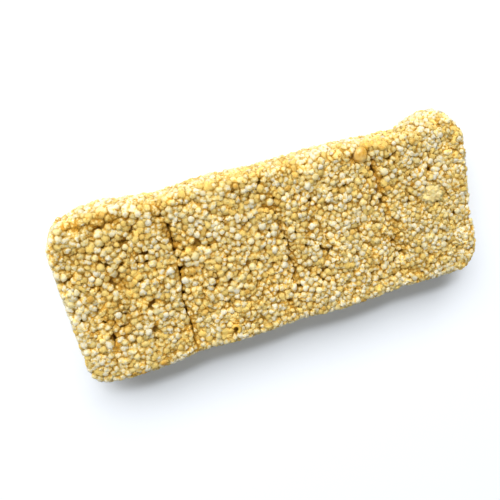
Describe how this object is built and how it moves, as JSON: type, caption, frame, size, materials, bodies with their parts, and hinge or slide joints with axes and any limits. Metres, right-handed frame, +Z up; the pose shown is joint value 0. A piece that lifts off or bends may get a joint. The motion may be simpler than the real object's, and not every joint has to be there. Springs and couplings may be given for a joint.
{
  "type": "amaranth brittle bar",
  "caption": "Pressed bar of popped amaranth grain, scored across its upper face into portions, lying flat on its broad underside.",
  "frame": {"origin": "on the flat underside, under the middle of the bar's bounding box", "axes": "+X along the bar from the portion with the deep score line towards the portion with the flared side, +Y towards the flared long side, +Z up out of the scored face"},
  "size_m": [0.1236, 0.0528, 0.0152],
  "materials": {
    "popped_grain": "pale gold popped grain in clear syrup, satin with small glossy spots"
  },
  "bodies": {
    "root": {"brittle_bar": "popped_grain"}
  },
  "joints": []
}
